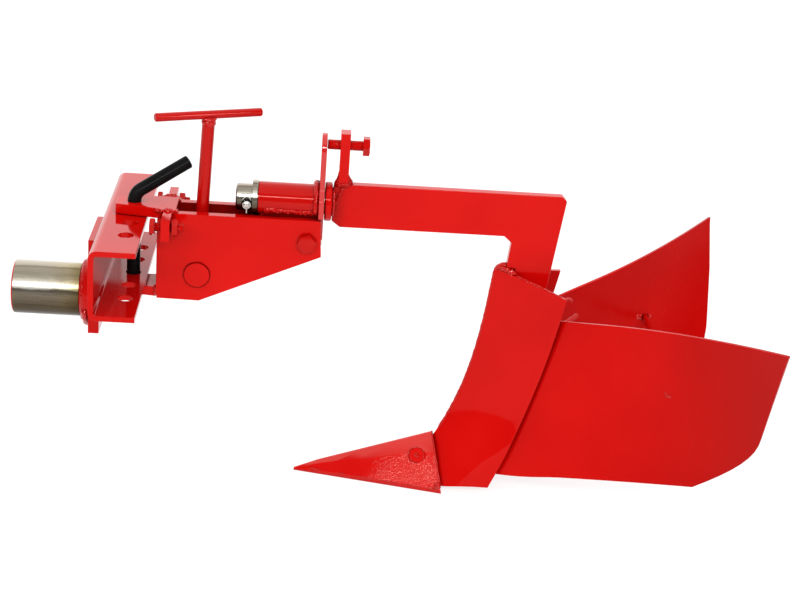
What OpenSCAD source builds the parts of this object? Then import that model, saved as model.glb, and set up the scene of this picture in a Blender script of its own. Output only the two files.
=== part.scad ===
// Walk-behind ridger: a double-winged furrow body on a cranked flat beam,
// carried by a hitch head with lateral offset, swing, pitch and roll settings.
// Frame: +X runs rearward from the hitch towards the ridger body, +Z is up,
// the origin is on the spigot axis where its bare length ends at the weld.

/* [Hitch head] */
// Diameter of the bare hitch spigot
spigot_d = 60; // [52:1:64]
// Bare length of the spigot in front of the weld
spigot_l = 75; // [60:1:110]
// Width of the flange plate behind the spigot
flange_w = 80; // [76:1:120]
// Length of the offset channel across the machine
channel_l = 270; // [240:2:320]
// Height of the offset channel
channel_h = 78.5; // [76:0.5:78.5]
// Sheet thickness of the offset channel
channel_t = 6; // [4:0.5:7]
// Distance between two offset holes
hole_pitch = 40; // [34:1:44]
// Diameter of the offset holes
hole_d = 17; // [16.5:0.5:19]

/* [Swing pin and lugs] */
// Diameter of the bent drop pin
pin_d = 15; // [14:0.5:15.5]
// Distance of the pin axis behind the origin
pin_x = 57.5; // [56:0.5:59]
// Thickness of the top lug
lug_t = 11.5; // [10:0.5:12]

/* [Swing bracket] */
// Thickness of each side plate
plate_t = 10; // [8:0.5:12]
// Clear gap between the side plates
plate_gap = 30; // [30:0.5:31]
// Diameter of the cross bar that holds the adjusting screw
bar_d = 29; // [24:1:30]

/* [Depth setting] */
// Diameter of the adjusting screw
screw_d = 14; // [12:0.5:14]
// Length of the tee bar
tee_l = 127; // [90:1:130]
// Diameter of the tee bar
tee_d = 9.5; // [8:0.5:11]
// Angle at which the tee bar stands at rest, seen from above
tee_turn = 28.6; // [10:0.1:40]
// Rearward lean of the adjusting screw
screw_lean = 2.2; // [0:0.1:2.4]

/* [Swivel] */
// Diameter of the swivel shaft
shaft_d = 30; // [28:0.5:30]
// Outer diameter of the swivel tube
tube_d = 37; // [36:0.5:38]
// Height of the swivel axis above the spigot axis
swivel_z = 121; // [121:0.5:122]

/* [Beam] */
// Thickness of the flat beam
beam_t = 12; // [10:0.5:12]
// Height of the beam's top edge
beam_top = 143.2; // [142:0.1:144]
// Height of the beam's lower edge
beam_low = 93.4; // [92:0.1:95]

/* [Ridger body] */
// Thickness of the breast plates
breast_t = 5; // [4:0.5:5.5]
// Thickness of the wing sheets
wing_t = 4; // [3:0.5:5]
// Half width of the share at its rear end
share_w = 44; // [40:1:46]
// Diameter of the rod between the wings
rod_d = 7; // [6:0.5:12]

/* [Hidden] */
$fn = 64;

// running fit on a radius
fit = 0.07;
red = [0.85, 0.08, 0.07];
steel = [0.62, 0.6, 0.57];
black = [0.06, 0.06, 0.06];

// ---- stations along the machine ----
flange_x0 = 12;  flange_x1 = 24;
chan_x1 = 73.5;
chan_z0 = 18.5;  chan_z1 = chan_z0 + channel_h;
lug_z0 = 97.5;
low_z0 = 5;      low_z1 = 16;
plate_x0 = 85;
gap_h = plate_gap / 2;
out_h = gap_h + plate_t;
pivot_x = 250;   pivot_z = 79.6;
bar_x = 130;     bar_z = 35;
nut_x = bar_x + (pivot_z - bar_z)*tan(screw_lean);
stop_z = 96;     stop_y = 46;
tube_x0 = 194;   tube_x1 = 261;
end_t = 6;
cotter_x = 182;  cotter_z = 118;
ring_x0 = 267.4; ring_x1 = 275.6;
beam_x0 = 276.2;
lock_z = 187;
share_base = -213.5;

// ---- ridge of the breast, trailing edge and wing surface ----
function ridge_x(z) = let(h = 54 - z) 462.5 - 0.10*h - 3.31e-6*h*h*h;
function trail_x(z) = let(k = 36 - z) 541.6 - 0.15*k - 0.00056*k*k;
function trail_w(z) = tan(30) * (trail_x(z) - ridge_x(z));
function wing_top(x) = 8.4 + 0.2256*(x - 542);
function wing_low(x) = -183 + 0.15*(x - 487) - 3.2*max(0, 1 - (x - 487)/60);
function wing_wt(x) = let(u = x - 542) 43 + 0.53*u + 0.0016*u*u;
function wing_wb(x) = let(u = x - 487) 48 + 0.29*u + 0.0002*u*u;
function wing_v(x, z) = (z - wing_low(x)) / (wing_top(x) - wing_low(x));
// tuck behind the breast near the front edge
function tuck_at(z) = 4.2 + 4*min(1, max(0, (10 - z)/120));
function tuck(x, z) = let(s = (x - trail_x(z)) / 45) s < 1 ? tuck_at(z)*(1 - s)*(1 - s) : 0;
function wing_w(x, z) = let(v = wing_v(x, z))
  wing_wb(x) + pow(max(v, 0), 1.08)*(wing_wt(x) - wing_wb(x)) - tuck(x, z);
function wing_front(v) = trail_x(-183 + 191.4*v) - 7;
function wing_rear(v, e) = 748.5 + e*min(1, max(0, (0.95 - v)/0.25)) - (v > 0.38 ? 0 : 54*pow((0.38 - v)/0.38, 2.1));

// ---- small shapes ----
module along_x(x0, x1, d, y = 0, z = 0) {
  translate([x0, y, z]) rotate([0, 90, 0]) cylinder(d = d, h = x1 - x0);
}
module along_y(y0, y1, d, x = 0, z = 0) {
  translate([x, y0, z]) rotate([-90, 0, 0]) cylinder(d = d, h = y1 - y0);
}
// hexagon of a bolt head or nut along Z with its outer corners turned off
module hexagon(af, h, turn, both = false) {
  c = af / cos(30);
  intersection() {
    rotate([0, 0, turn]) cylinder(d = c, h = h, $fn = 6);
    rotate_extrude() polygon([[0, 0], [both ? af*0.475 : c, 0], [c, both ? 0.3*(c - af*0.475) + 1.2 : 0],
      [c, h - 1.2 - 0.3*(c - af*0.475)], [af*0.475, h], [0, h]]);
  }
}
module hex_x(x0, x1, af, y = 0, z = 0, turn = 0, rear = true, both = false) {
  if (rear) translate([x0, y, z]) rotate([0, 90, 0]) hexagon(af, x1 - x0, turn, both);
  else translate([x1, y, z]) rotate([0, -90, 0]) hexagon(af, x1 - x0, turn, both);
}
module hex_y(y0, y1, af, x = 0, z = 0, turn = 0, far = true) {
  if (far) translate([x, y0, z]) rotate([-90, 0, 0]) hexagon(af, y1 - y0, turn);
  else translate([x, y1, z]) rotate([90, 0, 0]) hexagon(af, y1 - y0, turn);
}
// profile drawn in X and Z, thickened from y0 to y1
module slab_y(y0, y1) {
  translate([0, y1, 0]) rotate([90, 0, 0]) linear_extrude(height = y1 - y0) children();
}
// profile drawn in Y and Z, thickened from x0 to x1
module slab_x(x0, x1) {
  translate([x0, 0, 0]) rotate([90, 0, 90]) linear_extrude(height = x1 - x0) children();
}
// closed sheet between two point grids of nu x nv
module sheet(a, b, flip = false) {
  nu = len(a); nv = len(a[0]);
  n = nu*nv;
  pts = concat([for (r = a) each r], [for (r = b) each r]);
  f = concat(
    [for (i = [0:nu-2], j = [0:nv-2]) each [[i*nv+j, (i+1)*nv+j, (i+1)*nv+j+1], [i*nv+j, (i+1)*nv+j+1, i*nv+j+1]]],
    [for (i = [0:nu-2], j = [0:nv-2]) each [[n+i*nv+j, n+(i+1)*nv+j+1, n+(i+1)*nv+j], [n+i*nv+j, n+i*nv+j+1, n+(i+1)*nv+j+1]]],
    [for (i = [0:nu-2]) each [[i*nv, n+(i+1)*nv, (i+1)*nv], [i*nv, n+i*nv, n+(i+1)*nv]]],
    [for (i = [0:nu-2]) let(q = nv-1) each [[i*nv+q, (i+1)*nv+q, n+(i+1)*nv+q], [i*nv+q, n+(i+1)*nv+q, n+i*nv+q]]],
    [for (j = [0:nv-2]) each [[j, j+1, n+j+1], [j, n+j+1, n+j]]],
    [for (j = [0:nv-2]) let(q = (nu-1)*nv) each [[q+j, n+q+j+1, q+j+1], [q+j, n+q+j, n+q+j+1]]]);
  polyhedron(points = pts, faces = flip ? [for (t = f) [t[0], t[2], t[1]]] : f);
}

// ---- hitch head ----
module hitch_spigot() color(steel) {
  along_x(-spigot_l + 1.5, 0, spigot_d);
  translate([-spigot_l, 0, 0]) rotate([0, 90, 0])
    cylinder(d1 = spigot_d - 3, d2 = spigot_d, h = 1.5);
}

module flange_plate() color(red) {
  translate([flange_x0, -flange_w/2, -36]) cube([flange_x1 - flange_x0, flange_w, 110]);
  // root of the spigot and the weld collar round it
  rotate([0, 90, 0]) rotate_extrude() polygon([[0, 0], [spigot_d/2 - 0.5, 0], [spigot_d/2 - 0.5, 2],
    [spigot_d/2 + 2.2, 2.4], [spigot_d/2 + 5, 5.5], [spigot_d/2 + 7.5, flange_x0], [0, flange_x0]]);
}

module channel_profile() {
  r = channel_t + 3;
  difference() {
    union() {
      translate([flange_x1 + r, chan_z0]) square([chan_x1 - flange_x1 - r, channel_h]);
      translate([flange_x1, chan_z0 + r]) square([chan_x1 - flange_x1, channel_h - 2*r]);
      for (z = [chan_z0 + r, chan_z1 - r]) translate([flange_x1 + r, z]) circle(r = r);
    }
    translate([flange_x1 + r, chan_z0 + channel_t]) square([60, channel_h - 2*channel_t]);
    translate([flange_x1 + channel_t, chan_z0 + r]) square([60, channel_h - 2*r]);
    for (z = [chan_z0 + r, chan_z1 - r]) translate([flange_x1 + r, z]) circle(r = 3);
  }
}
module offset_channel() color(red) difference() {
  slab_y(-channel_l/2, channel_l/2) channel_profile();
  for (i = [-2:2]) translate([pin_x, i*hole_pitch, chan_z0 - 5]) cylinder(d = hole_d, h = channel_h + 10);
}

// ---- drop pin ----
pin_bend = 62; pin_r = 14; pin_yaw = 22; pin_arm = 62; pin_z = 109.5;
module hitch_pin() color(black) translate([pin_x, 0, 0]) {
  translate([0, 0, -2.5]) cylinder(d = pin_d, h = pin_z + 2.5);
  translate([0, 0, -4]) cylinder(d1 = pin_d - 3, d2 = pin_d, h = 1.5);
}
// the bent upper end of the pin: rings along the bend and the straight arm
pin_sides = 36; pin_steps = 10;
function pin_ring(c, a, d) = [for (k = [0:pin_sides-1]) let(t = 360*k/pin_sides)
  c + d/2*[cos(t)*cos(a), sin(t), -cos(t)*sin(a)]];
function pin_at(a) = [pin_r - pin_r*cos(a), 0, pin_z + pin_r*sin(a)];
pin_dir = [sin(pin_bend), 0, cos(pin_bend)];
pin_rings = concat(
  [for (i = [0:pin_steps]) let(a = pin_bend*i/pin_steps) pin_ring(pin_at(a), a, pin_d)],
  [pin_ring(pin_at(pin_bend) + (pin_arm - 1.2)*pin_dir, pin_bend, pin_d),
   pin_ring(pin_at(pin_bend) + pin_arm*pin_dir, pin_bend, pin_d - 2.4)]);
module pin_handle() color(black) translate([pin_x, 0, 0]) rotate([0, 0, pin_yaw]) {
  n = len(pin_rings); m = pin_sides;
  polyhedron(points = [for (r = pin_rings) each r], faces = concat(
    [for (i = [0:n-2], j = [0:m-1]) let(q = (j+1)%m) each [[i*m+j, (i+1)*m+j, (i+1)*m+q], [i*m+j, (i+1)*m+q, i*m+q]]],
    [[for (j = [0:m-1]) j]], [[for (j = [m-1:-1:0]) (n-1)*m + j]]));
}

// ---- swing bracket ----
module top_lug() color(red) difference() {
  translate([0, 0, lug_z0]) linear_extrude(height = lug_t)
    polygon([[38, -13], [81, -21], [105, -out_h], [105, out_h], [81, 21], [38, 13]]);
  translate([pin_x, 0, lug_z0 - 1]) cylinder(d = pin_d + 2*fit, h = lug_t + 2);
}
module bottom_lug() color(red) difference() {
  translate([0, 0, low_z0]) linear_extrude(height = low_z1 - low_z0)
    polygon([[38, -13], [plate_x0, -21], [plate_x0, -gap_h], [112, -gap_h],
             [112, gap_h], [plate_x0, gap_h], [plate_x0, 21], [38, 13]]);
  translate([pin_x, 0, low_z0 - 1]) cylinder(d = pin_d + 2*fit, h = 20);
}
module plate_profile() {
  polygon([[plate_x0 + 1, 4.6], [plate_x0, 16], [plate_x0, lug_z0], [105, lug_z0], [105, 105.2],
           [264, 105.2], [266.6, 63.4], [133, 3.9]]);
}
module side_plate(y0, y1) difference() {
  slab_y(y0, y1) plate_profile();
  along_y(y0 - 1, y1 + 1, 12.3, pivot_x, pivot_z);
  along_y(y0 - 1, y1 + 1, bar_d, bar_x, bar_z);
}
module near_side_plate() color(red) side_plate(-out_h, -gap_h);
module far_side_plate() color(red) side_plate(gap_h, out_h);

// a stop block stands off each side plate beside the top lug and takes a set bolt
module stop_block() difference() {
  translate([92, out_h, 84]) cube([9.5, 34, 24]);
  along_x(85, 110, 10 + 2*fit, stop_y, stop_z);
}
module near_stop_block() color(red) mirror([0, 1, 0]) stop_block();
module far_stop_block() color(red) stop_block();
module stop_bolt(y) {
  hex_x(79, 84.5, 17, y, stop_z, 0, false);
  along_x(84.5, 114.5, 10, y, stop_z);
  translate([114.5, y, stop_z]) rotate([0, 90, 0]) cylinder(d1 = 10, d2 = 8, h = 1);
}
module near_stop_bolt() color(red) stop_bolt(-stop_y);
module far_stop_bolt() color(red) stop_bolt(stop_y);
module stop_lock_nuts() color(red) for (y = [-stop_y, stop_y]) difference() {
  hex_x(103.5, 110, 17, y, stop_z);
  along_x(102, 112, 10 + 2*fit, y, stop_z);
}
module pivot_bolt() color(red) {
  hex_y(-out_h - 7.5, -out_h, 19, pivot_x, pivot_z, 15, false);
  along_y(-out_h, out_h + 13, 12, pivot_x, pivot_z);
}
module pivot_nut() color(red) difference() {
  hex_y(out_h, out_h + 10, 19, pivot_x, pivot_z, 5);
  along_y(out_h - 1, out_h + 11, 12.1, pivot_x, pivot_z);
}
// the adjusting screw leans rearward from the middle of the cross bar
module on_screw(h) translate([bar_x, 0, bar_z]) rotate([0, screw_lean, 0]) translate([0, 0, h]) children();
module screw_cross_bar() color(red) difference() {
  along_y(-out_h - 2, out_h + 2, bar_d, bar_x, bar_z);
  on_screw(-20) cylinder(d = screw_d + 2*fit, h = 40);
}

// ---- depth arm ----
module arm_profile() {
  polygon([[119, 69], [122, 66], [150, 66], [240, 66.5], [tube_x1, 68.5], [tube_x1, 108.6],
           [198, 108.6], [192, 98], [176, 93], [122, 93], [119, 90]]);
}
module depth_arm_bar() color(red) difference() {
  slab_y(-gap_h + 0.5, gap_h - 0.5) arm_profile();
  along_x(180, 270, tube_d, 0, swivel_z);
  along_y(-30, 30, 12 + 2*fit, pivot_x, pivot_z);
  along_y(-30, 30, 20 + 2*fit, nut_x, pivot_z);
  on_screw(20) cylinder(d = screw_d + 5, h = 50);
}
module swivel_tube() color(red) difference() {
  along_x(tube_x0, tube_x1, tube_d, 0, swivel_z);
  along_x(tube_x0 - 1, tube_x1 + 1, shaft_d + 2*fit, 0, swivel_z);
}
module end_plate() color(red) difference() {
  slab_x(tube_x1, tube_x1 + end_t) {
    polygon([[-gap_h + 0.7, 79.8], [gap_h - 0.7, 79.8], [gap_h - 0.7, 108], [27, 108], [27, 128],
             [18, 139], [18, 181.2], [-18, 181.2], [-18, 139], [-27, 128], [-27, 108], [-gap_h + 0.7, 108]]);
    translate([0, 181.2]) circle(r = 18);
  }
  along_x(tube_x1 - 1, tube_x1 + end_t + 1, shaft_d + 2*fit, 0, swivel_z);
}

// ---- adjusting screw ----
module depth_nut() color(steel) difference() {
  along_y(-gap_h + 0.7, gap_h - 0.7, 20, nut_x, pivot_z);
  on_screw(pivot_z - bar_z - 20) cylinder(d = screw_d + 2.6, h = 40);
}
module tee_screw() color(red) difference() {
  union() {
    on_screw(-25) cylinder(d = screw_d, h = 201);
    on_screw(-23) cylinder(d = 22, h = 8);
    on_screw(15) cylinder(d = 22, h = 6);
  }
  on_screw(177.5) rotate([0, 0, tee_turn]) rotate([0, 90, 0]) cylinder(d = tee_d + 0.1, h = 60, center = true);
}
module tee_bar() color(red) on_screw(177.5) rotate([0, 0, tee_turn]) rotate([0, 90, 0]) {
  cylinder(d = tee_d, h = tee_l - 2, center = true);
  for (s = [0, 1]) mirror([0, 0, s]) translate([0, 0, tee_l/2 - 1]) cylinder(d1 = tee_d, d2 = tee_d - 2, h = 1);
}

// ---- swivel and beam ----
module swivel_shaft() color(steel) difference() {
  union() {
    along_x(171, beam_x0, shaft_d, 0, swivel_z);
    translate([169.5, 0, swivel_z]) rotate([0, 90, 0]) cylinder(d1 = shaft_d - 3, d2 = shaft_d, h = 1.5);
  }
  along_y(-20, 20, 6 + 2*fit, cotter_x, cotter_z);
}
module front_washer() color(steel) difference() {
  along_x(187.4, 193.7, 39.6, 0, swivel_z);
  along_x(187, 194, shaft_d + 0.1, 0, swivel_z);
}
module thrust_ring() color(red) difference() {
  along_x(ring_x0, ring_x1, 44, 0, swivel_z);
  along_x(ring_x0 - 1, ring_x1 + 1, shaft_d + 0.1, 0, swivel_z);
}
// headed pin through the shaft, with a wire tail below its head
module collar_pin() color(steel) {
  along_y(-17, 19, 6, cotter_x, cotter_z);
  along_y(-20, -17, 9, cotter_x, cotter_z);
  translate([cotter_x, -18.6, cotter_z - 9.5]) cylinder(d = 1.8, h = 7);
}
module beam_profile() {
  polygon(concat(
    [[beam_x0, 100.2], [beam_x0, 138.5], [284, beam_top], [531.5, beam_top], [536.4, 138],
     [526.6, 57.7], [511, -70]],
    [for (z = [-70:20:50]) [ridge_x(z) + 23, z]],
    [[ridge_x(55) + 23, 55.5], [475.6, 55.5], [478.7, 86], [470, beam_low], [285.5, beam_low]]));
}
module beam() color(red) slab_y(-beam_t/2, beam_t/2) beam_profile();
module lock_lug() color(red) difference() {
  translate([281.4, -9, beam_top]) cube([10.8, 18, 202 - beam_top]);
  along_x(280, 294, 11 + 2*fit, 0, lock_z);
}
module lock_bolt() color(red) {
  translate([267.4, 0, lock_z]) rotate([0, 90, 0]) cylinder(d1 = 9, d2 = 11, h = 1);
  along_x(268.4, 306.2, 11, 0, lock_z);
  hex_x(306.2, 313.8, 19, 0, lock_z, 30);
}

// ---- ridger body ----
// one side of the V, u from the ridge to the trailing edge, at height z
function breast_w(u, z) = let(p = 1 + 1.5*pow(max(0, (-120 - z)/86), 1.5)) 1 - pow(1 - u, p);
bz_low = -202;
function breast_z(u, w) = (54 - 17.6*u)*(1 - w) + max(bz_low - 8, bz_low - 20*max(0, 0.75 - u))*w;
function breast_out(u, w) = let(z = breast_z(u, w), a = ridge_x(z), b = trail_x(z),
    e = z < -160 ? 1 - 0.16*(-160 - z)/46 : 1)
  [a + (b - a)*u, trail_w(z)*e*breast_w(u, z), z];
function breast_in(u, w) = let(z = breast_z(u, w), a = ridge_x(z) + 2*breast_t, b = trail_x(z),
    e = z < -160 ? 1 - 0.16*(-160 - z)/46 : 1)
  [a + (b - a)*u, max(0, trail_w(z)*e*breast_w(u, z) - breast_t/cos(30)*u), z];
// the far plate is cut a little longer and higher at its top rear corner
function far_lead(q, u, w) = let(k = u > 0 ? u*pow(1 - w, 5) : 0) [q[0] + 2.8*k, sign(u)*q[1], q[2] + 2.2*k];
br_n = 16; br_m = 6;
module breast() color(red) difference() {
  sheet(
    [for (i = [0:br_n]) [for (j = [-br_m:br_m]) far_lead(breast_out(abs(j)/br_m, i/br_n), j/br_m, i/br_n)]],
    [for (i = [0:br_n]) [for (j = [-br_m:br_m]) far_lead(breast_in(abs(j)/br_m, i/br_n), j/br_m, i/br_n)]]);
  // cut along the rear face of the share
  translate([407.7, 0, -155]) rotate([0, -13.2, 0]) translate([-200, -100, -150]) cube([200, 200, 300]);
}
function share_x1(z) = 407.4 - 0.2345*(z + 155);
function share_ridge(x) = x < 277 ? -211 + 0.42*(x - 248.5) : -199 + 0.337*(x - 277);
function share_half(x) = 1.5 + (share_w - 1.5)*(x - 248.5)/(421 - 248.5);
share_st = [248.5, 256, 266, 277, 300, 330, 360, 385, 407.4];
// the lip along the lower edge runs out towards the point
function share_lip(x) = share_base + (x < 290 ? 1.3 + 3.7*(x - 248.5)/41.5 : 5);
function share_ring(x) = let(e = x > 400 ? 1 : 0, w = share_half(e ? 421 : x), r = share_ridge(x), l = share_lip(x),
    m = r + 0.37*(l - r) + 1.6*min(1, (x - 248.5)/40))
  [[e ? share_x1(share_base) : x, -w, share_base], [e ? share_x1(l) : x, -w, l],
   [e ? share_x1(m) : x, -1.2 - (w - 1.2)*0.38, m], [x, -1.2, r], [x, 1.2, r], [e ? share_x1(m) : x, 1.2 + (w - 1.2)*0.38, m],
   [e ? share_x1(l) : x, w, l], [e ? share_x1(share_base) : x, w, share_base]];
module share_body() {
  n = len(share_st); k = 8;
  polyhedron(points = [for (x = share_st) each share_ring(x)],
    faces = concat(
      [for (i = [0:n-2], j = [0:k-1]) let(a = i*k + j, b = i*k + (j+1)%k) each [[a, b, b + k], [a, b + k, a + k]]],
      [for (j = [1:k-2]) [0, j + 1, j]],
      [for (j = [1:k-2]) let(o = (n-1)*k) [o, o + j, o + j + 1]]));
}
// one countersunk bolt in each side of the share
bolt_p = [391, -13.5, -180.9];
bolt_tilt = 54;
module at_bolts() for (s = [0, 1]) mirror([0, s, 0]) translate(bolt_p) rotate([bolt_tilt, 0, 0]) children();
module share() color(red) difference() {
  share_body();
  at_bolts() { cylinder(d = 10, h = 20, center = true); translate([0, 0, -1]) cylinder(d1 = 10, d2 = 22, h = 7); }
}
module share_bolts() color(red) at_bolts() {
  translate([0, 0, -9.9]) cylinder(d = 9.8, h = 9);
  translate([0, 0, -0.9]) cylinder(d1 = 9.8, d2 = 17.2, h = 4.3);
}

wing_n = 20; wing_m = 20;
function wing_pt(i, j, e) = let(v = j/wing_m, a = wing_front(v), b = wing_rear(v, e), x = a + (b - a)*i/wing_n,
    z = wing_low(x) + v*(wing_top(x) - wing_low(x))) [x, -wing_w(x, z), z];
function wing_nrm(p) = let(dx = (wing_w(p[0] + 1, p[2]) - wing_w(p[0] - 1, p[2]))/2,
    dz = (wing_w(p[0], p[2] + 1) - wing_w(p[0], p[2] - 1))/2, m = sqrt(dx*dx + dz*dz + 1)) [dx/m, 1/m, dz/m];
module wing(e) sheet([for (i = [0:wing_n]) [for (j = [0:wing_m]) wing_pt(i, j, e)]],
  [for (i = [0:wing_n]) [for (j = [0:wing_m]) let(p = wing_pt(i, j, e)) p + wing_t*wing_nrm(p)]]);
module near_wing() color(red) wing(0);
// the far wing is cut a little fuller along its rear edge
module far_wing() color(red) mirror([0, 1, 0]) wing(2.8);

rod_x = 664; rod_z = -42;
rod_half = wing_w(rod_x, rod_z);
module spreader_rod() color(red) along_y(-rod_half + 5, rod_half - 5, rod_d, rod_x, rod_z);
// studs that hold each wing inside the breast's trailing edge, and a short
// round bar that stands inward from the front of the near wing
stud_z = [-20, -68, -115];
bar_turn = 58.6;
module wing_stays() color(red) {
  for (s = [0, 1], z = stud_z) mirror([0, s, 0])
    along_y(-trail_w(z) + 5.5, 3.5 - wing_w(trail_x(z) - 3.5, z), 6, trail_x(z) - 3.5, z);
  translate([541, -38, 2.5]) rotate([0, 0, bar_turn]) rotate([0, 90, 0]) {
    cylinder(d = 6, h = 38.4);
    translate([0, 0, 38.4]) cylinder(d1 = 6, d2 = 3.6, h = 1.5);
  }
}

hitch_spigot();
flange_plate();
offset_channel();
hitch_pin();
pin_handle();
top_lug();
bottom_lug();
near_side_plate();
far_side_plate();
near_stop_block();
far_stop_block();
near_stop_bolt();
far_stop_bolt();
stop_lock_nuts();
pivot_bolt();
pivot_nut();
screw_cross_bar();
depth_arm_bar();
swivel_tube();
end_plate();
depth_nut();
tee_screw();
tee_bar();
swivel_shaft();
front_washer();
thrust_ring();
collar_pin();
beam();
lock_lug();
lock_bolt();
breast();
share();
share_bolts();
near_wing();
far_wing();
spreader_rod();
wing_stays();
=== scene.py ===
import bpy
import bmesh
import math
from mathutils import Matrix, Vector, noise


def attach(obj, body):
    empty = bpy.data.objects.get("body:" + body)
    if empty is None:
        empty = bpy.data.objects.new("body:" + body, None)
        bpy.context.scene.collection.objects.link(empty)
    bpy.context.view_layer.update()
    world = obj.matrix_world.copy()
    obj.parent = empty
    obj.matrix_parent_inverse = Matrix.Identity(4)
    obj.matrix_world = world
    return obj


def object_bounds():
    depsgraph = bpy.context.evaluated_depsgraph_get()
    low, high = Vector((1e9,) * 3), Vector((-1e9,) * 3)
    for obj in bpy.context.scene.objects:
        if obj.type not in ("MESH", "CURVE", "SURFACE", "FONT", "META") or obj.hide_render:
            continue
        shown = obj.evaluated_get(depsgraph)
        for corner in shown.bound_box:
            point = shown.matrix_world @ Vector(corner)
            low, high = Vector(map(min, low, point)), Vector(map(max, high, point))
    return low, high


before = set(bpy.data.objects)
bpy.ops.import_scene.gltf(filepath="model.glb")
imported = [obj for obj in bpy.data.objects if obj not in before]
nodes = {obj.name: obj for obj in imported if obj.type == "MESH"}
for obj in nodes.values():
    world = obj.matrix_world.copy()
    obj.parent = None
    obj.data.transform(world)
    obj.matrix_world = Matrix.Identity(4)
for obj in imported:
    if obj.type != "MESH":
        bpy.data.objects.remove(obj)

cad_lo, cad_hi = [v.copy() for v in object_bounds()]
MM = 0.001
scene = bpy.context.scene
scene.view_settings.view_transform = "Standard"

# ------------------------------------------------------------------ materials


def new_material(name):
    m = bpy.data.materials.new(name)
    m.use_nodes = True
    nt = m.node_tree
    for n in list(nt.nodes):
        nt.nodes.remove(n)
    out = nt.nodes.new("ShaderNodeOutputMaterial")
    bsdf = nt.nodes.new("ShaderNodeBsdfPrincipled")
    nt.links.new(bsdf.outputs["BSDF"], out.inputs["Surface"])
    return m, nt, bsdf


def coords(nt, scale=(1, 1, 1)):
    tc = nt.nodes.new("ShaderNodeTexCoord")
    mp = nt.nodes.new("ShaderNodeMapping")
    mp.inputs["Scale"].default_value = scale
    nt.links.new(tc.outputs["Object"], mp.inputs["Vector"])
    return mp.outputs["Vector"]


def noise_tex(nt, vec, scale, detail=3.0, rough=0.5):
    n = nt.nodes.new("ShaderNodeTexNoise")
    n.inputs["Scale"].default_value = scale
    n.inputs["Detail"].default_value = detail
    n.inputs["Roughness"].default_value = rough
    nt.links.new(vec, n.inputs["Vector"])
    return n.outputs["Fac"]


def ramp(nt, fac, stops):
    r = nt.nodes.new("ShaderNodeValToRGB")
    e = r.color_ramp.elements
    while len(e) < len(stops):
        e.new(0.5)
    for el, (p, c) in zip(e, stops):
        el.position = p
        el.color = (*c, 1.0) if len(c) == 3 else c
    nt.links.new(fac, r.inputs["Fac"])
    return r.outputs["Color"]


def bump(nt, bsdf, height, strength, distance):
    b = nt.nodes.new("ShaderNodeBump")
    b.inputs["Strength"].default_value = strength
    b.inputs["Distance"].default_value = distance
    nt.links.new(height, b.inputs["Height"])
    nt.links.new(b.outputs["Normal"], bsdf.inputs["Normal"])
    return b


def crevice_painted_shade(nt, col, dist, low):
    """Painted shade: darkens a colour where neighbouring surfaces close in on it."""
    ao = nt.nodes.new("ShaderNodeAmbientOcclusion")
    ao.samples = 8
    ao.inputs["Distance"].default_value = dist
    k = ramp(nt, ao.outputs["AO"], [(0.15, (low, low * 0.7, low * 0.7)), (0.72, (1.0, 1.0, 1.0))])
    mx = nt.nodes.new("ShaderNodeMix")
    mx.data_type = "RGBA"
    mx.blend_type = "MULTIPLY"
    mx.inputs["Factor"].default_value = 1.0
    nt.links.new(col, mx.inputs["A"])
    nt.links.new(k, mx.inputs["B"])
    return mx.outputs["Result"]


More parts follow.
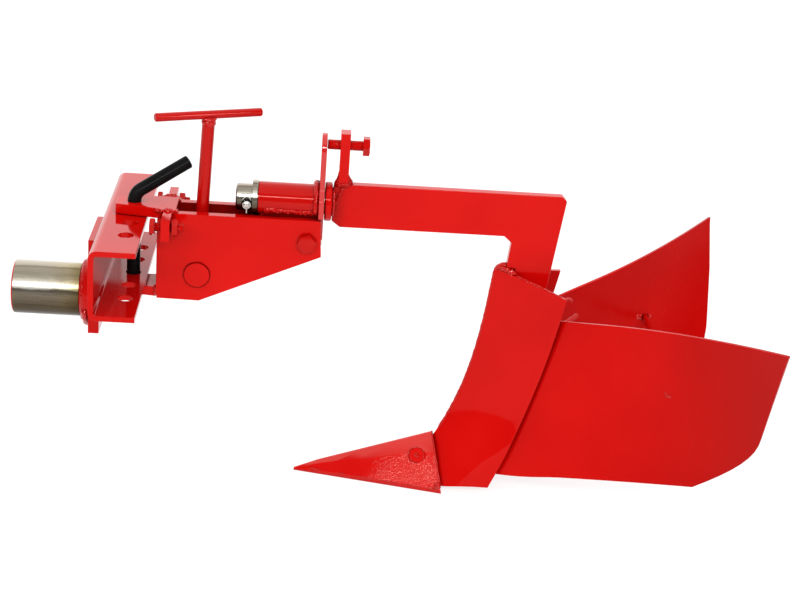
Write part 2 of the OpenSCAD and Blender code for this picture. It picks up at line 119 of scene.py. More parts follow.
def enamel(name, peel_scale, peel, dark=1.0, rough=(0.06, 0.13), thread=None, spec=0.26, tint=(1.0, 0.46, 0.40), painted_shade_x=None, low=0.30, even=None):
    """Sprayed gloss enamel: slight colour drift, uneven gloss and fine orange peel, with painted shade in crevices.
    """
    m, nt, bsdf = new_material(name)
    v = coords(nt)
    drift = noise_tex(nt, v, 9.0, 4.0)
    c = ramp(nt, drift, [(0.30, (0.428 * dark, 0.0012, 0.0008)), (0.55, (0.468 * dark, 0.0020, 0.0013)),
                         (0.78, (0.500 * dark, 0.0032, 0.0022))])
    if painted_shade_x:
        # painted shade, darker towards one end along X: (x0, factor at x0, x1, factor at x1)
        sx = nt.nodes.new("ShaderNodeSeparateXYZ")
        nt.links.new(v, sx.inputs["Vector"])
        mr = nt.nodes.new("ShaderNodeMapRange")
        mr.interpolation_type = "SMOOTHSTEP"
        for key, val in zip(("From Min", "To Min", "From Max", "To Max"), painted_shade_x):
            mr.inputs[key].default_value = val
        nt.links.new(sx.outputs["X"], mr.inputs["Value"])
        mx = nt.nodes.new("ShaderNodeMix")
        mx.data_type = "RGBA"
        mx.blend_type = "MULTIPLY"
        mx.inputs["Factor"].default_value = 1.0
        nt.links.new(c, mx.inputs["A"])
        nt.links.new(mr.outputs["Result"], mx.inputs["B"])
        c = mx.outputs["Result"]
    # painted shade: base colour darkened in crevices and between parts
    c = crevice_painted_shade(nt, c, 0.010, low)
    nt.links.new(c, bsdf.inputs["Base Color"])
    g = noise_tex(nt, v, 38.0, 5.0)
    lo, hi = rough
    nt.links.new(ramp(nt, g, [(0.3, (lo, lo, lo)), (0.75, (hi, hi, hi))]), bsdf.inputs["Roughness"])
    bsdf.inputs["Specular IOR Level"].default_value = spec
    bsdf.inputs["Specular Tint"].default_value = (*tint, 1.0)
    bsdf.inputs["IOR"].default_value = 1.45
    if thread:
        w = nt.nodes.new("ShaderNodeTexWave")
        w.bands_direction = "X"
        w.inputs["Scale"].default_value = thread
        w.inputs["Distortion"].default_value = 0.6
        nt.links.new(v, w.inputs["Vector"])
        bump(nt, bsdf, w.outputs["Fac"], 0.9, 0.0006)
    else:
        grain = noise_tex(nt, v, peel_scale, 2.0)
        if even:
            # orange peel that starts between two places along X
            sx = nt.nodes.new("ShaderNodeSeparateXYZ")
            nt.links.new(v, sx.inputs["Vector"])
            mr = nt.nodes.new("ShaderNodeMapRange")
            mr.interpolation_type = "SMOOTHSTEP"
            mr.inputs["From Min"].default_value, mr.inputs["From Max"].default_value = even
            mr.inputs["To Min"].default_value = 0.12
            nt.links.new(sx.outputs["X"], mr.inputs["Value"])
            mu = nt.nodes.new("ShaderNodeMath")
            mu.operation = "MULTIPLY"
            nt.links.new(grain, mu.inputs[0])
            nt.links.new(mr.outputs["Result"], mu.inputs[1])
            grain = mu.outputs[0]
        bump(nt, bsdf, grain, peel, 0.0006)
    return m


RED = enamel("red_enamel", 260.0, 0.10)
RED_FLAT = enamel("red_enamel_sheet", 34.0, 0.035, 1.0, (0.08, 0.16))
RED_PEEL = enamel("red_enamel_peel", 480.0, 0.85, 1.04, (0.04, 0.08), None, 0.38, (1.0, 0.72, 0.64), None, 0.30, (0.325, 0.372))
RED_TOP = enamel("red_enamel_share_top", 60.0, 0.04, 1.0, (0.05, 0.09), None, 0.72, (1.0, 0.84, 0.74))
# painted shade: a darker copy of the enamel for the bolts, the swivel tube and the round bars
RED_ROUND = enamel("red_enamel_round", 240.0, 0.08, 0.82, (0.05, 0.10), None, 0.34, (1.0, 0.52, 0.46))
RED_CHAN = enamel("red_enamel_channel", 120.0, 0.06, 0.90)
RED_EDGE = enamel("red_enamel_edge", 200.0, 0.10, 0.94, (0.05, 0.10), None, 1.0, (1.0, 0.74, 0.72))
RED_BREAST = enamel("red_enamel_breast", 26.0, 0.05, 1.0, (0.03, 0.07))
RED_WELD = enamel("red_enamel_weld", 420.0, 0.22, 0.86, (0.04, 0.08), None, 0.50, (1.0, 0.72, 0.66))
# painted shade: a darker copy of the enamel for the welds at the beam front and the lock lug's foot, with milder
# crevice darkening; also the dark seam round the share bolts
RED_FOOT = enamel("red_enamel_foot", 300.0, 0.20, 0.74, (0.05, 0.10), None, 0.30, (1.0, 0.6, 0.55), None, 0.7)
# painted shade: the wing's colour darkens towards its rear end
RED_WING = enamel("red_enamel_wing", 34.0, 0.035, 1.0, (0.10, 0.18), None, 0.18, (1.0, 0.40, 0.34), (0.60, 1.0, 0.76, 0.74))
# painted shade: the beam's colour darkens towards its front end
RED_BEAM = enamel("red_enamel_beam", 34.0, 0.035, 1.0, (0.08, 0.16), None, 0.26, (1.0, 0.46, 0.40), (0.277, 0.66, 0.296, 1.0))
RED_THREAD = enamel("red_enamel_thread", 260.0, 0.1, 0.95, (0.10, 0.2), 180.0)
# painted shade: a darker, duller enamel for inside faces of the wings and breast and for the wing stays
RED_INNER_SHADE = enamel("red_enamel_inner", 34.0, 0.035, 0.85, (0.2, 0.3), None, 0.06, (1.0, 0.2, 0.2))
# painted shade: a much darker enamel for the hidden arm and the inside faces of the side plates
RED_PAINTED_SHADE = enamel("red_enamel_shaded", 60.0, 0.06, 0.34, (0.2, 0.32), None, 0.06, (1.0, 0.3, 0.3))
RED_SEAM = enamel("red_enamel_seam", 300.0, 0.1, 0.34, (0.25, 0.4), None, 0.03, (1.0, 0.3, 0.3))


def bare_steel(name, base, around=None, tint_x=None, streak=(6, 220, 220), rough=(0.20, 0.34)):
    """Turned bare steel: streaks along the axis, heat tint at a weld, and a colour ramp around the axis that paints a
    highlight band, a lighter top, and shade and floor reflection on the underside.
    """
    m, nt, bsdf = new_material(name)
    bsdf.inputs["Metallic"].default_value = 1.0
    v = coords(nt, streak)
    s1 = noise_tex(nt, v, 3.0, 6.0, 0.65)
    col = ramp(nt, s1, [(0.25, tuple(x * 0.66 for x in base)), (0.5, base), (0.8, tuple(min(1, x * 1.22) for x in base))])

    def multiply(a, b):
        mx = nt.nodes.new("ShaderNodeMix")
        mx.data_type = "RGBA"
        mx.blend_type = "MULTIPLY"
        mx.inputs["Factor"].default_value = 1.0
        nt.links.new(a, mx.inputs["A"])
        nt.links.new(b, mx.inputs["B"])
        return mx.outputs["Result"]

    tc = nt.nodes.new("ShaderNodeTexCoord")
    sx = nt.nodes.new("ShaderNodeSeparateXYZ")
    nt.links.new(tc.outputs["Object"], sx.inputs["Vector"])
    # painted highlight and shade: colour set by the angle around the axis
    if around is not None:
        axis_z, stops = around
        dz = nt.nodes.new("ShaderNodeMath")
        dz.operation = "SUBTRACT"
        dz.inputs[1].default_value = axis_z
        nt.links.new(sx.outputs["Z"], dz.inputs[0])
        ny = nt.nodes.new("ShaderNodeMath")
        ny.operation = "MULTIPLY"
        ny.inputs[1].default_value = -1.0
        nt.links.new(sx.outputs["Y"], ny.inputs[0])
        at = nt.nodes.new("ShaderNodeMath")
        at.operation = "ARCTAN2"
        nt.links.new(dz.outputs["Value"], at.inputs[0])
        nt.links.new(ny.outputs["Value"], at.inputs[1])
        wob = nt.nodes.new("ShaderNodeMath")
        wob.operation = "MULTIPLY_ADD"
        wob.inputs[1].default_value = 0.22
        nt.links.new(noise_tex(nt, coords(nt, (1, 2, 2)), 60.0, 4.0), wob.inputs[0])
        nt.links.new(at.outputs["Value"], wob.inputs[2])
        mr = nt.nodes.new("ShaderNodeMapRange")
        mr.inputs["From Min"].default_value = -math.pi
        mr.inputs["From Max"].default_value = math.pi
        nt.links.new(wob.outputs["Value"], mr.inputs["Value"])
        col = multiply(col, ramp(nt, mr.outputs["Result"], [((a + 180) / 360 + 0.0175, c) for a, c in stops]))
    if tint_x is not None:
        mr = nt.nodes.new("ShaderNodeMapRange")
        mr.inputs["From Min"].default_value = tint_x[0]
        mr.inputs["From Max"].default_value = tint_x[1]
        nt.links.new(sx.outputs["X"], mr.inputs["Value"])
        wob = nt.nodes.new("ShaderNodeMath")
        wob.operation = "MULTIPLY_ADD"
        wob.inputs[1].default_value = 0.30
        nt.links.new(noise_tex(nt, coords(nt), 45.0, 3.0), wob.inputs[0])
        nt.links.new(mr.outputs["Result"], wob.inputs[2])
        col = multiply(col, ramp(nt, wob.outputs["Value"], [(0.25, (1.0, 1.0, 1.0)), (0.75, (0.98, 0.93, 0.78)), (1.0, (0.74, 0.64, 0.40))]))
    nt.links.new(col, bsdf.inputs["Base Color"])
    lo, hi = rough
    nt.links.new(ramp(nt, s1, [(0.25, (hi, hi, hi)), (0.75, (lo, lo, lo))]), bsdf.inputs["Roughness"])
    bump(nt, bsdf, s1, 0.10, 0.0003)
    return m


# painted light on turned steel by angle around the axis: dark underside with painted floor reflection, bright painted
# highlight band at 19 to 33 degrees, lighter top
STEEL_PAINTED_LIGHT = [(-180, (0.20, 0.165, 0.12)), (-60, (0.085, 0.066, 0.044)), (-22, (0.14, 0.112, 0.078)), (0, (0.235, 0.20, 0.162)),
         (11, (0.30, 0.27, 0.23)), (15, (0.25, 0.22, 0.19)), (19, (0.92, 0.91, 0.88)), (33, (0.95, 0.93, 0.89)), (40, (0.52, 0.49, 0.43)),
         (50, (0.40, 0.37, 0.315)), (66, (0.45, 0.41, 0.345)), (71, (0.34, 0.30, 0.24)), (77, (0.66, 0.61, 0.53)), (120, (0.70, 0.65, 0.57)), (180, (0.20, 0.165, 0.12))]
STEEL_SPIGOT = bare_steel("bare_steel_spigot", (0.60, 0.575, 0.52), (0.0, STEEL_PAINTED_LIGHT), (-0.040, 0.002))
STEEL_SHAFT = bare_steel("bare_steel_shaft", (0.56, 0.54, 0.50), (0.121, STEEL_PAINTED_LIGHT), None, (10, 160, 160))
STEEL = bare_steel("bare_steel_fittings", (0.60, 0.585, 0.55), None, None, (120, 30, 30))


def black_oxide():
    m, nt, bsdf = new_material("black_oxide")
    v = coords(nt)
    n = noise_tex(nt, v, 60.0, 5.0)
    nt.links.new(ramp(nt, n, [(0.3, (0.003, 0.003, 0.003)), (0.7, (0.007, 0.0065, 0.0065)), (0.85, (0.020, 0.018, 0.017))]), bsdf.inputs["Base Color"])
    nt.links.new(ramp(nt, n, [(0.3, (0.20, 0.20, 0.20)), (0.7, (0.32, 0.32, 0.32))]), bsdf.inputs["Roughness"])
    bsdf.inputs["Specular IOR Level"].default_value = 0.035
    bump(nt, bsdf, noise_tex(nt, v, 300.0, 3.0), 0.12, 0.0003)
    return m


BLACK = black_oxide()

# ------------------------------------------------------------------ CAD nodes


def dress(name, mat, bevel=0.8, seg=3, angle=32):
    """Material, rounded edges and smooth shading on a carried-over node."""
    o = nodes[name]
    o.data.materials.clear()
    o.data.materials.append(mat)
    for p in o.data.polygons:
        p.material_index = 0
        p.use_smooth = True
    if o.data.has_custom_normals:
        bpy.context.view_layer.objects.active = o
        with bpy.context.temp_override(object=o, active_object=o, selected_objects=[o]):
            bpy.ops.mesh.customdata_custom_splitnormals_clear()
    w = o.modifiers.new("weld", "WELD")
    w.merge_threshold = 0.00001
    d = o.modifiers.new("planar", "DECIMATE")
    d.decimate_type = "DISSOLVE"
    d.angle_limit = math.radians(0.6)
    if bevel:
        b = o.modifiers.new("bevel", "BEVEL")
        b.width = bevel * MM
        b.segments = seg
        b.limit_method = "ANGLE"
        b.angle_limit = math.radians(angle)
        b.harden_normals = True
        b.use_clamp_overlap = True
    return o


for n in ("flange_plate", "top_lug", "bottom_lug", "lock_lug"):
    dress(n, RED, 0.9)
dress("offset_channel", RED_CHAN, 0.9)
dress("end_plate", RED_EDGE, 1.6, 4)
dress("thrust_ring", RED, 2.4, 5)
for n in ("near_side_plate", "far_side_plate"):
    dress(n, RED_FLAT, 0.9)
dress("beam", RED_BEAM, 0.9)
for n in ("near_stop_block", "far_stop_block"):
    dress(n, RED, 0.8)
for n in ("near_stop_bolt", "far_stop_bolt", "stop_lock_nuts", "pivot_bolt", "pivot_nut", "lock_bolt"):
    dress(n, RED_ROUND, 0.45)
# threaded shanks of the set bolts and the lock bolt
for n, lo_x, hi_x in (("near_stop_bolt", 84.6, 114.4), ("far_stop_bolt", 84.6, 114.4), ("lock_bolt", 268.5, 306.1)):
    me_t = nodes[n].data
    me_t.materials.append(RED_THREAD)
    for p in me_t.polygons:
        if lo_x * MM < p.center.x < hi_x * MM and abs(p.normal.x) < 0.2:
            p.material_index = 1
dress("screw_cross_bar", RED, 0.8)
dress("swivel_tube", RED_ROUND, 0.8)
# painted shade on the arm between the side plates
dress("depth_arm_bar", RED_PAINTED_SHADE, 0.8)
for n in ("tee_screw", "tee_bar", "spreader_rod"):
    dress(n, RED_ROUND, 0.6)
# painted shade on the wing stays
dress("wing_stays", RED_INNER_SHADE, 0.6)
dress("breast", RED_BREAST, 1.0, 3, 38)
dress("near_wing", RED_WING, 0.9, 3, 50)
dress("far_wing", RED_WING, 0.9, 3, 50)
# painted shade: darker, duller enamel on the inside faces of the side plates and of the wings
for n, mat, s in (("near_side_plate", RED_PAINTED_SHADE, 1), ("far_side_plate", RED_PAINTED_SHADE, -1), ("near_wing", RED_INNER_SHADE, 1), ("far_wing", RED_INNER_SHADE, -1)):
    me_i = nodes[n].data
    me_i.materials.append(mat)
    for p in me_i.polygons:
        if p.normal.y * s > 0.35 and abs(p.normal.z) < 0.6:
            p.material_index = 1
# painted shade on the rear-facing inside faces of the breast
me_i = nodes["breast"].data
me_i.materials.append(RED_INNER_SHADE)
for p in me_i.polygons:
    if p.normal.x > 0.2:
        p.material_index = 1
dress("share", RED_PEEL, 1.0, 3, 12)
# smoother coat on the two upper facets of the share
me_i = nodes["share"].data
me_i.materials.append(RED_TOP)
for p in me_i.polygons:
    if p.normal.z > 0.592 and abs(p.normal.y) > 0.3:
        p.material_index = 1
dress("share_bolts", RED, 0.4)
dress("hitch_pin", BLACK, 0.5)
dress("pin_handle", BLACK, 0.5, 3, 40)
dress("hitch_spigot", STEEL_SPIGOT, 0.5)
for n in ("swivel_shaft", "front_washer"):
    dress(n, STEEL_SHAFT, 0.7)
for n in ("collar_pin", "depth_nut"):
    dress(n, STEEL, 0.5)

# overspray on the spigot's front end
sp = nodes["hitch_spigot"]
sp.data.materials.append(RED)
for p in sp.data.polygons:
    if p.center.x < -0.0735 - 1e-5:
        p.material_index = 1

# ------------------------------------------------------------------ new pieces


def finish_piece(o, body, mat):
    o.data.materials.append(mat)
    for p in o.data.polygons:
        p.use_smooth = True
    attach(o, body)
    return o


def mesh_object(name, verts, faces):
    me = bpy.data.meshes.new(name)
    me.from_pydata([tuple(v) for v in verts], [], faces)
    me.update()
    bm = bmesh.new()
    bm.from_mesh(me)
    bmesh.ops.recalc_face_normals(bm, faces=bm.faces)
    bm.to_mesh(me)
    bm.free()
    o = bpy.data.objects.new(name, me)
    scene.collection.objects.link(o)
    return o


def bead(name, pts, r, body, seed=0.0, closed=False, lump=0.22, pitch=1.5, flat=1.0, up=(0, 0, 1), sides=14, mat=None,
         cell=0.0, amp=0.0, wide=1.0):
    """A weld bead along pts (mm) of radius r (mm, one value or one per point): ripples on an uneven run,
    with rounded lumps of size cell (mm) where amp is given."""
    rs = list(r) if isinstance(r, (list, tuple)) else [r] * len(pts)
    r0 = max(rs)
    four = [Vector((*p, k)) for p, k in zip(pts, rs)]
    if closed:
        four.append(four[0].copy())
    path, rad = [], []
    for a, b in zip(four, four[1:]):
        n = max(1, round((b.xyz - a.xyz).length / (r0 * 0.16 if not amp else min(r0 * 0.16, cell * 0.22))))
        for i in range(n):
            q = a.lerp(b, i / n)
            path.append(q.xyz)
            rad.append(q.w)
    if not closed:
        path.append(four[-1].xyz)
        rad.append(four[-1].w)
    n = len(path)
    total = sum((b - a).length for a, b in zip(path, path[1:]))
    verts, faces = [], []
    s = 0.0
    upv = Vector(up).normalized()
    for i, p in enumerate(path):
        a = path[(i - 1) % n] if closed or i > 0 else p
        b = path[(i + 1) % n] if closed or i < n - 1 else p
        t = (b - a).normalized()
        side = t.cross(upv)
        if side.length < 1e-4:
            side = t.cross(Vector((0, 1, 0)))
        side.normalize()
        nv = side.cross(t).normalized()
        if i:
            s += (p - path[i - 1]).length
        ph = (s / (r0 * pitch)) % 1.0
        ripple = 0.90 + 0.17 * (ph ** 0.6)
        wob = 1.0 + lump * noise.noise(Vector((s / (r0 * 2.3), seed * 7.1, 1.7)))
        k = rad[i] * ripple * wob
        if not closed:
            e = min(s, total - s) / (rad[i] * 1.2)
            k *= math.sqrt(max(0.02, 1 - (1 - min(1, e)) ** 2))
        shift = side * (rad[i] * 0.5 * lump * noise.noise(Vector((s / (r0 * 3.1), seed * 3.3, 9.2))))
        for j in range(sides):
            th = 2 * math.pi * j / sides
            jit = 1 + 0.30 * lump * noise.noise(Vector((s / r0 * 0.9, j * 0.9, seed)))
            off = side * (math.cos(th) * k * jit * wide) + nv * (math.sin(th) * k * jit * flat)
            if amp:
                d1 = noise.voronoi((p + off) / cell + Vector((seed, 0, 0)))[0][0]
                off = off * (1 + amp * (0.42 - d1))
            verts.append((p + shift + off) * MM)
    rings = n if closed else n - 1
    for i in range(rings):
        q = (i + 1) % n
        for j in range(sides):
            h = (j + 1) % sides
            faces.append((i * sides + j, i * sides + h, q * sides + h, q * sides + j))
    if not closed:
        faces.append(tuple(range(sides)))
        faces.append(tuple((n - 1) * sides + j for j in range(sides)))
    o = mesh_object(name, verts, faces)
    return finish_piece(o, body, mat or RED_WELD)


def circle_x(x, y, z, r, n=48, a0=0, a1=360):
    return [Vector((x, y + r * math.cos(math.radians(a0 + (a1 - a0) * i / n)), z + r * math.sin(math.radians(a0 + (a1 - a0) * i / n))))
            for i in range(n if a1 - a0 == 360 else n + 1)]


# spigot to flange plate
bead("weld_spigot_root", circle_x(4.2, 0, 0, 32.0), 3.1, "hitch_head", 1.0, True, 0.12, 6.0, up=(1, 0, 0), cell=9.0, amp=0.12, sides=18)
bead("weld_spigot_low", circle_x(8.0, 0, 0, 36.2, 30, 195, 345), [1.2] + [4.2] * 29 + [1.2], "hitch_head", 2.0, False, 0.12, 6.0, up=(1, 0, 0), cell=9.0, amp=0.12, sides=18)
# flange plate to channel, top and lower edge
bead("weld_flange_top", [(24.5, -38, 74.5), (24.5, 38, 74.5)], 2.4, "hitch_head", 3.0)
bead("weld_flange_low", [(28, -38, 20.6), (28, 38, 20.6)], 2.2, "hitch_head", 3.5)
for s, tag in ((-1, "near"), (1, "far")):
    bead("weld_flange_%s" % tag, [(24.6, s * 40, 26), (24.6, s * 40, 72)], 2.2, "hitch_head", 4.0 + s)
    # lug and stop block
    bead("weld_block_lug_%s" % tag, [(81, s * 21.0, 105.0), (86, s * 23.0, 107.0), (92, s * 25.2, 107.8), (98, s * 26.0, 108.4), (104, s * 25.4, 107.2)], [1.8, 2.4, 2.9, 2.9, 2.2],
         "swing_bracket", 5.0 + s, lump=0.4, cell=2.9, amp=0.75, sides=20)
    bead("weld_block_plate_%s" % tag, [(91.6, s * 25.2, 85), (91.6, s * 25.2, 97)], 1.9, "swing_bracket", 6.0 + s, lump=0.3)
    bead("weld_block_back_%s" % tag, [(101.8, s * 25.2, 85), (101.8, s * 25.2, 96)], 1.9, "swing_bracket", 6.6 + s, lump=0.3)
    # lug to plate, along its lower corner and its rear end
    bead("weld_lug_plate_%s" % tag, [(86, s * 22.6, 97.2), (91, s * 23.4, 97.2)], 2.0, "swing_bracket", 7.0 + s)
    bead("weld_lug_rear_%s" % tag, [(105.4, s * 16, 106.2), (105.4, s * 24.4, 106.2)], 2.0, "swing_bracket", 7.7 + s)
    # lower lug to the front edge of the plate
    bead("weld_low_lug_%s" % tag, [(85.2, s * 22.6, 7), (84.6, s * 22.8, 16.4), (85.0, s * 18, 17)], 2.6, "swing_bracket", 8.0 + s, lump=0.4, cell=3.0, amp=0.6, sides=18)
    bead("weld_low_lug_under_%s" % tag, [(88, s * 15.3, 5.6), (110, s * 15.3, 5.8)], 1.8, "swing_bracket", 8.8 + s)
    # tube to arm
    bead("weld_tube_arm_%s" % tag, [(200, s * 14.0, 111.8), (206, s * 14.4, 112.0), (222, s * 14.2, 111.4), (240, s * 14.2, 111.0), (259, s * 14.0, 110.8)],
         [3.4, 3.6, 3.1, 2.9, 2.9], "depth_arm", 9.0 + s, lump=0.4, pitch=1.7, cell=3.0, amp=0.75, sides=22)
    bead("weld_tube_arm_up_%s" % tag, [(200.5, s * 16.0, 113.2), (208, s * 16.6, 113.8), (224, s * 16.2, 112.8), (238, s * 16.0, 112.2), (258, s * 15.8, 112.0)],
         [2.6, 3.0, 2.3, 1.9, 2.2], "depth_arm", 9.5 + s, lump=0.5, cell=2.6, amp=0.8, sides=18)
# tube to end plate
bead("weld_tube_end", circle_x(258.2, 0, 121, 19.4, 48, -32, 212), 3.7, "depth_arm", 11.0, False, 0.20, 1.4, up=(1, 0, 0), cell=4.5, amp=0.3, sides=18)
# thrust ring, shaft and beam front
bead("weld_ring_beam", circle_x(277.2, 0, 121, 14.6), 2.0, "ridger", 12.0, True, 0.35, 1.4, up=(1, 0, 0))
for s, tag in ((-1, "near"), (1, "far")):
    bead("weld_beam_front_%s" % tag, [(278.4, s * 5.8, 118), (280.0, s * 6.2, 123), (282.6, s * 6.4, 129), (285.4, s * 6.4, 136), (288.0, s * 6.2, 141)],
         [1.4, 2.2, 2.4, 2.2, 1.6], "ridger", 13.0 + s, lump=0.4, pitch=1.8, flat=0.45, up=(0, 1, 0), cell=2.4, amp=0.8, sides=20, mat=RED_FOOT)
    # foot of the lock lug
    bead("weld_lug_foot_%s" % tag, [(279.5, s * 7.6, 142.6), (286, s * 8.6, 144.0), (294.5, s * 7.6, 143.4)], [2.2, 2.6, 2.2], "ridger", 15.0 + s, lump=0.2, cell=4.4, amp=0.3, sides=18, mat=RED_FOOT)
# the lug's foot runs out in welds in front and behind
bead("weld_lug_foot_front", [(283.4, 0, 165), (283.0, 0, 159), (282.2, 0, 153), (281.8, 0, 147.5), (280.8, 0, 142), (281.2, 0, 135)], [0.6, 1.2, 1.9, 3.0, 4.3, 5.2],
     "ridger", 16.0, lump=0.10, pitch=2.2, up=(1, 0, 0), wide=1.35, cell=5.5, amp=0.18, sides=22, mat=RED_FOOT)
bead("weld_lug_foot_rear", [(291.6, 0, 154), (292.0, 0, 150), (292.8, 0, 146.6), (294.4, 0, 144.0), (297.5, 0, 142.6)], [0.9, 2.4, 3.6, 3.7, 1.9],
     "ridger", 17.0, lump=0.12, pitch=2.0, up=(1, 0, 0), wide=1.5, cell=5.0, amp=0.2, sides=22, mat=RED_FOOT)
# tee bar on its screw
LEAN = math.radians(2.2)


def on_screw(x, y, h):
    """Point at height h along the adjusting screw's axis, x and y across it (mm)."""
    return (130.0 + x * math.cos(LEAN) + h * math.sin(LEAN), y, 35.0 - x * math.sin(LEAN) + h * math.cos(LEAN))


bead("weld_tee", [on_screw(7.2 * math.cos(a), 7.2 * math.sin(a), 172.6 + 1.2 * abs(math.cos(a - math.radians(28.6)))) for a in [2 * math.pi * i / 32 for i in range(32)]],
     1.7, "adjusting_screw", 18.0, True, 0.3, cell=3.0, amp=0.6)
bead("weld_tee_cone", [on_screw(0, 0, h) for h in (159.5, 164, 168.5, 173, 176.5)], [7.2, 7.7, 8.7, 9.8, 9.2], "adjusting_screw", 18.6,
     lump=0.06, pitch=8.0, up=(1, 0, 0), cell=4.5, amp=0.16, sides=30)


def ridge_x(z):
    h = 54 - z
    return 462.5 - 0.10 * h - 3.31e-6 * h ** 3


def trail_x(z):
    k = 36 - z
    return 541.6 - 0.15 * k - 0.00056 * k * k


# leg to breast, top of the V
for s, tag in ((-1, "near"), (1, "far")):
    bead("weld_leg_top_%s" % tag, [(468, s * 4.0, 53.8), (474, s * 6.4, 54.6), (481, s * 8.6, 52.6), (488, s * 11.2, 50.6)], [2.2, 3.4, 3.4, 2.0], "ridger", 20.0 + s,
         lump=0.4, cell=2.9, amp=0.8, sides=20)
    bead("weld_leg_side_%s" % tag, [(ridge_x(z) + 24.5, s * 7.2, z) for z in (46, 30, 10, -10, -30, -50, -66)], 2.4, "ridger", 21.0 + s, lump=0.3)
    # thick, uneven paint along the cut top edge of each breast plate
    bead("paint_top_edge_%s" % tag, [(466.5 + 75.5 * u, s * (45.7 * u - 0.7), 53.9 - 17.6 * u) for u in (0.28, 0.42, 0.55, 0.68, 0.82, 0.97)], [1.7, 1.5, 1.6, 1.2, 0.9, 0.9], "ridger", 24.0 + s,
         lump=0.4, cell=3.6, amp=0.5, sides=12)
    # rod between the wings
    bead("weld_rod_front_%s" % tag, [(650.4, s * 110.2, -38.0), (653.6, s * 111.2, -40.4), (656.2, s * 112.0, -42.0), (658.2, s * 112.6, -37.6)], [2.6, 3.8, 4.2, 3.0], "ridger", 26.0 + s, lump=0.4, cell=3.2, amp=0.7, sides=20)
    bead("weld_rod_rear_%s" % tag, [(668.6, s * 115.2, -38.4), (669.6, s * 115.4, -41.6), (668.8, s * 115.2, -44.6)], [1.6, 2.2, 1.4], "ridger", 27.0 + s, lump=0.4, cell=2.6, amp=0.7, sides=16)
bead("weld_leg_crown", [(463.4, 0, 51.8), (467.5, 0, 55.2), (472.5, 0, 57.0), (477.4, 0, 58.6)], [1.8, 3.0, 3.4, 3.0], "ridger", 22.0, lump=0.15, wide=1.5, up=(0, 0, 1), cell=5.0, amp=0.25, sides=20)
# cut front edge of the breast where the plates meet
bead("weld_breast_ridge", [(ridge_x(z) + 0.9, 0, z) for z in range(50, -153, -8)], 1.5, "ridger", 23.0, lump=0.3, pitch=2.4)
# curl at the top rear corner of the near plate
bead("curl_near_corner", [(539.5, -44.4, 36.6), (543.0, -43.6, 37.0), (546.6, -42.4, 36.6), (548.4, -41.8, 34.6), (547.6, -41.8, 32.6)], [1.2, 1.5, 1.4, 1.2, 0.8],
     "ridger", 28.0, lump=0.2, sides=12)
# weld of the inward bar on the near wing
bead("weld_bar_near", [(540.0, -36.2, 5.5), (543.6, -36.0, 4.7), (545.0, -35.4, 1.5), (542.0, -34.4, -0.1)], 1.7, "ridger", 29.0, lump=0.4, cell=2.4, amp=0.6)


def share_x1(z):
    return 407.4 - 0.2345 * (z + 155)


def share_half(x):
    return 1.5 + 42.5 * (x - 248.5) / 172.5


for s, tag in ((-1, "near"), (1, "far")):
    # seam bead on the rear end of the share, and drips along its lower edge
    bead("weld_share_rear_%s" % tag, [(407.6, s * 2.0, -155.6), (share_x1(-164) + 0.2, s * 9.6, -163.8), (share_x1(-173.2) + 0.2, s * 17.7, -173.0), (share_x1(-190) + 0.2, s * 30.3, -189.8), (share_x1(-207) + 0.2, s * 43.0, -206.8)],
         0.95, "ridger", 31.0 + s, lump=0.4, pitch=2.6, sides=10)
    bead("weld_share_corner_%s" % tag, [(412.5, s * 39.0, -203.5), (416.5, s * 41.4, -205.0), (418.5, s * 41.8, -208.5)], [2.6, 3.6, 2.8], "ridger", 33.0 + s, lump=0.4, cell=2.8, amp=0.7, sides=18)
    for i, (x0, x1, r) in enumerate(((268, 281, 0.9), (300, 309, 0.7), (322, 343, 0.9), (347, 372, 1.0), (375, 399, 1.0), (401, 417, 1.1))):
        bead("paint_drip_%s_%d" % (tag, i), [(x, s * (share_half(x) - 0.5), -208.7) for x in (x0, (x0 + x1) / 2, x1)], r, "ridger", 35.0 + s + i, lump=0.6, cell=2.6, amp=0.8, sides=12)

# face of each countersunk share bolt: seam filled with paint and a small drive dimple
bn = Vector((0, -math.sin(math.radians(54)), math.cos(math.radians(54))))
for s, tag in ((-1, "near"), (1, "far")):
    n_b = Vector((0, bn.y * -s, bn.z))
    c_b = Vector((391, s * 13.5, -180.9)) + n_b * 3.4
    ex = Vector((1, 0, 0))
    ey = n_b.cross(ex)
    ring = lambda r, up: [c_b + n_b * up + (ex * math.cos(2 * math.pi * i / 40) + ey * math.sin(2 * math.pi * i / 40)) * r for i in range(40)]
    bead("bolt_seam_%s" % tag, ring(8.65, -0.15), 0.42, "ridger", 41.0 + s, True, lump=0.4, up=tuple(n_b), sides=10, mat=RED_FOOT)
    bead("bolt_rim_%s" % tag, ring(9.6, -0.45), 0.7, "ridger", 42.0 + s, True, lump=0.5, up=tuple(n_b), sides=10, cell=3.0, amp=0.5)
    bead("bolt_dimple_%s" % tag, ring(2.3, 0.0), 0.85, "ridger", 43.0 + s, True, lump=0.25, up=tuple(n_b), sides=10)

# seam around each end of the cross bar
for s, tag in ((-1, "near"), (1, "far")):
    bead("seam_bar_%s" % tag, [(130.0 + 14.3 * math.cos(2 * math.pi * i / 56), s * 26.7, 35.0 + 14.3 * math.sin(2 * math.pi * i / 56)) for i in range(56)], 0.55, "swing_bracket", 45.0 + s, True,
         lump=0.4, up=(0, 1, 0), sides=10, mat=RED_SEAM)

# ------------------------------------------------------------------ shaft pin
cot = Vector((182.0, -20.0, 118.0))


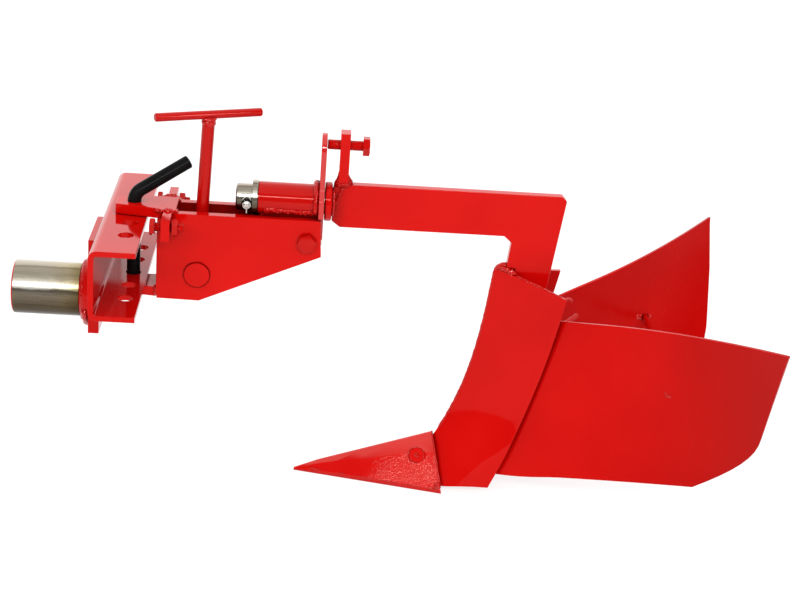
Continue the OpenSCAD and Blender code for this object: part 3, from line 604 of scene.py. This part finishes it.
def dome(name, c, r, h, body, mat):
    """Rounded head of radius r standing h towards -Y from c (mm)."""
    verts, faces = [], []
    rings_n, sides = 10, 32
    for i in range(rings_n):
        a = math.pi / 2 * i / rings_n
        for j in range(sides):
            t = 2 * math.pi * j / sides
            verts.append((c + Vector((r * math.cos(a) * math.cos(t), -h * math.sin(a), r * math.cos(a) * math.sin(t)))) * MM)
    top = len(verts)
    verts.append((c + Vector((0, -h, 0))) * MM)
    low = len(verts)
    verts.append((c + Vector((0, 0.6, 0))) * MM)
    for i in range(rings_n - 1):
        for j in range(sides):
            q = (j + 1) % sides
            faces.append((i * sides + j, i * sides + q, (i + 1) * sides + q, (i + 1) * sides + j))
    for j in range(sides):
        q = (j + 1) % sides
        faces.append(((rings_n - 1) * sides + j, (rings_n - 1) * sides + q, top))
        faces.append((q, j, low))
    return finish_piece(mesh_object(name, verts, faces), body, mat)


dome("pin_head_cap", cot, 3.9, 1.5, "shaft_pin", STEEL)
for i, d in enumerate((-1.0, 1.4)):
    e = Vector((0.55, 0, -0.83))
    f = Vector((0.83, 0, 0.55))
    o = cot + f * d + Vector((0, -1.25 + 0.12 * d * d, 0))
    bead("pin_strand_%d" % i, [o - e * 2.9 + Vector((0, 0.75, 0)), o - e * 1.2, o + e * 0.9, o + e * 2.2 + Vector((0, 0.5, 0))], 0.85, "shaft_pin", 50.0 + i, lump=0.1, pitch=3.0, sides=10,
         mat=STEEL)
arc = [cot + Vector((5.3 * math.cos(a), 1.9, 5.3 * math.sin(a))) for a in [math.radians(-30 + 240 * i / 24) for i in range(25)]]
bead("pin_collar", arc, 0.75, "shaft_pin", 53.0, lump=0.08, pitch=4.0, sides=10, mat=BLACK)
bead("pin_bow", [cot + Vector((5.6 * math.cos(a) * 0.9, 2.8 + 0.3 * math.sin(a), 1.5 + 7.2 * math.sin(a))) for a in [math.radians(20 + 140 * i / 20) for i in range(21)]], 0.7, "shaft_pin", 54.0,
     lump=0.08, pitch=4.0, sides=10, mat=STEEL)

# ------------------------------------------------------------------ light, floor, camera

me = bpy.data.meshes.new("floor")
me.from_pydata([(-6, -6, 0), (7, -6, 0), (7, 8, 0), (-6, 8, 0)], [], [(0, 1, 2, 3)])
floor = bpy.data.objects.new("floor", me)
floor.location.z = cad_lo.z - 0.0006
scene.collection.objects.link(floor)
fm, fnt, fb = new_material("floor_white")
fb.inputs["Base Color"].default_value = (0.30, 0.30, 0.30, 1)
fb.inputs["Emission Color"].default_value = (1, 1, 1, 1)
fb.inputs["Emission Strength"].default_value = 0.76
fb.inputs["Roughness"].default_value = 0.7
fb.inputs["Specular IOR Level"].default_value = 0.1
me.materials.append(fm)

world = bpy.data.worlds.new("studio")
scene.world = world
world.use_nodes = True
wn = world.node_tree
bg = wn.nodes["Background"]
bg.inputs["Color"].default_value = (1, 1, 1, 1)
# a bright wall behind, a dim room in front, a broad ceiling light
wt = wn.nodes.new("ShaderNodeTexCoord")
ws = wn.nodes.new("ShaderNodeSeparateXYZ")
wn.links.new(wt.outputs["Generated"], ws.inputs["Vector"])


def world_range(src, a, b, lo_v, hi_v):
    r = wn.nodes.new("ShaderNodeMapRange")
    r.interpolation_type = "SMOOTHSTEP"
    for k, val in (("From Min", a), ("From Max", b), ("To Min", lo_v), ("To Max", hi_v)):
        r.inputs[k].default_value = val
    wn.links.new(src, r.inputs["Value"])
    return r.outputs["Result"]


side = world_range(ws.outputs["Y"], -0.05, 0.6, 0.26, 1.7)
lift = world_range(ws.outputs["Z"], 0.68, 0.76, 0.0, 1.0)
wm = wn.nodes.new("ShaderNodeMix")
wm.data_type = "FLOAT"
wn.links.new(lift, wm.inputs["Factor"])
wn.links.new(side, wm.inputs["A"])
wm.inputs["B"].default_value = 1.4
wn.links.new(wm.outputs["Result"], bg.inputs["Strength"])


def area(name, loc, target, size, power, size_y=None):
    l = bpy.data.lights.new(name, "AREA")
    l.energy = power
    l.shape = "RECTANGLE"
    l.size = size
    l.size_y = size_y or size
    o = bpy.data.objects.new(name, l)
    o.location = loc
    o.rotation_mode = "QUATERNION"
    o.rotation_quaternion = (Vector(target) - Vector(loc)).to_track_quat("-Z", "Y")
    scene.collection.objects.link(o)
    return o


area("key_right", (0.95, -2.25, 1.36), (0.40, 0, 0.02), 1.0, 31, 0.45)
area("key_left", (-0.10, -2.32, 1.36), (0.20, 0, 0.02), 1.2, 21, 0.30)
# two low strips that show in the foot of the breast
area("spot_left", (-1.0, -1.6, 1.1), (0.45, -0.03, -0.16), 0.20, 8.8, 0.20)
area("strip_right", (1.67, -1.10, 0.81), (0.13, 0.0, 0.21), 0.15, 4.0, 0.50)

F = 1785.43
E, PSI, RHO = (math.radians(a) for a in (21.610, 3.1006, 4.2517))
fw = Vector((math.sin(PSI) * math.cos(E), math.cos(PSI) * math.cos(E), -math.sin(E)))
right = Vector((math.cos(PSI), -math.sin(PSI), 0))
down = fw.cross(right)
r2 = right * math.cos(RHO) - down * math.sin(RHO)
d2 = right * math.sin(RHO) + down * math.cos(RHO)
cd = bpy.data.cameras.new("camera")
cd.sensor_width = 36
cd.lens = F / 800 * 36
cd.clip_start, cd.clip_end = 0.05, 60
cam = bpy.data.objects.new("camera", cd)
scene.collection.objects.link(cam)
cam.matrix_world = Matrix(((r2.x, -d2.x, -fw.x, 0.2571), (r2.y, -d2.y, -fw.y, -1.8834), (r2.z, -d2.z, -fw.z, 0.7551), (0, 0, 0, 1)))
scene.camera = cam
